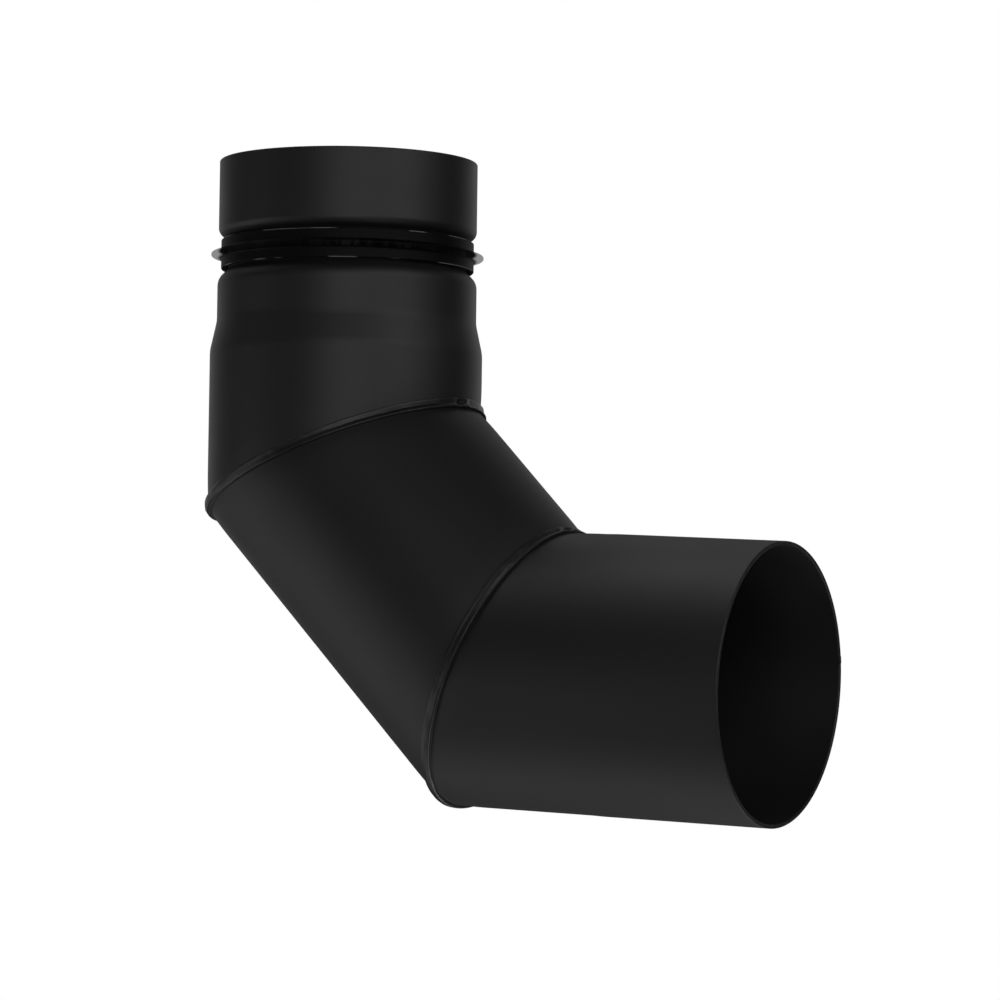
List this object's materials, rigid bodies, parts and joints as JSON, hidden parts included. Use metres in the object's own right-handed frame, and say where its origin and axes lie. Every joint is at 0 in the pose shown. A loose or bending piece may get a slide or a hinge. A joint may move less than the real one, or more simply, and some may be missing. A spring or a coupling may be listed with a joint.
{
  "type": "flue elbow",
  "caption": "Mitred, welded steel flue elbow with a grooved spigot and lip seal at one end and a plain socket at the other, coated satin black.",
  "frame": {"origin": "centre of the spigot's rim, on the spigot's axis", "axes": "+Z out of the spigot along its axis; the bend lies in the XZ plane, and the socket opens towards +X, 3 degrees below it; +Y is the far side of the bend, where the seam welds lie"},
  "size_m": [0.1949, 0.0858, 0.2042],
  "materials": {
    "coated_steel": "satin-matt heat-resistant black coating on steel sheet",
    "coated_weld": "the same black coating over weld metal, a little rougher",
    "seal_rubber": "smooth black silicone"
  },
  "bodies": {
    "root": {"spigot_gore": "coated_steel", "middle_gore": "coated_steel", "socket_gore": "coated_steel", "lip_seal": "seal_rubber", "upper_mitre_weld": "coated_weld", "lower_mitre_weld": "coated_weld", "spigot_gore_seam_weld": "coated_weld", "middle_gore_seam_weld": "coated_weld", "socket_gore_seam_weld": "coated_weld"}
  },
  "joints": []
}
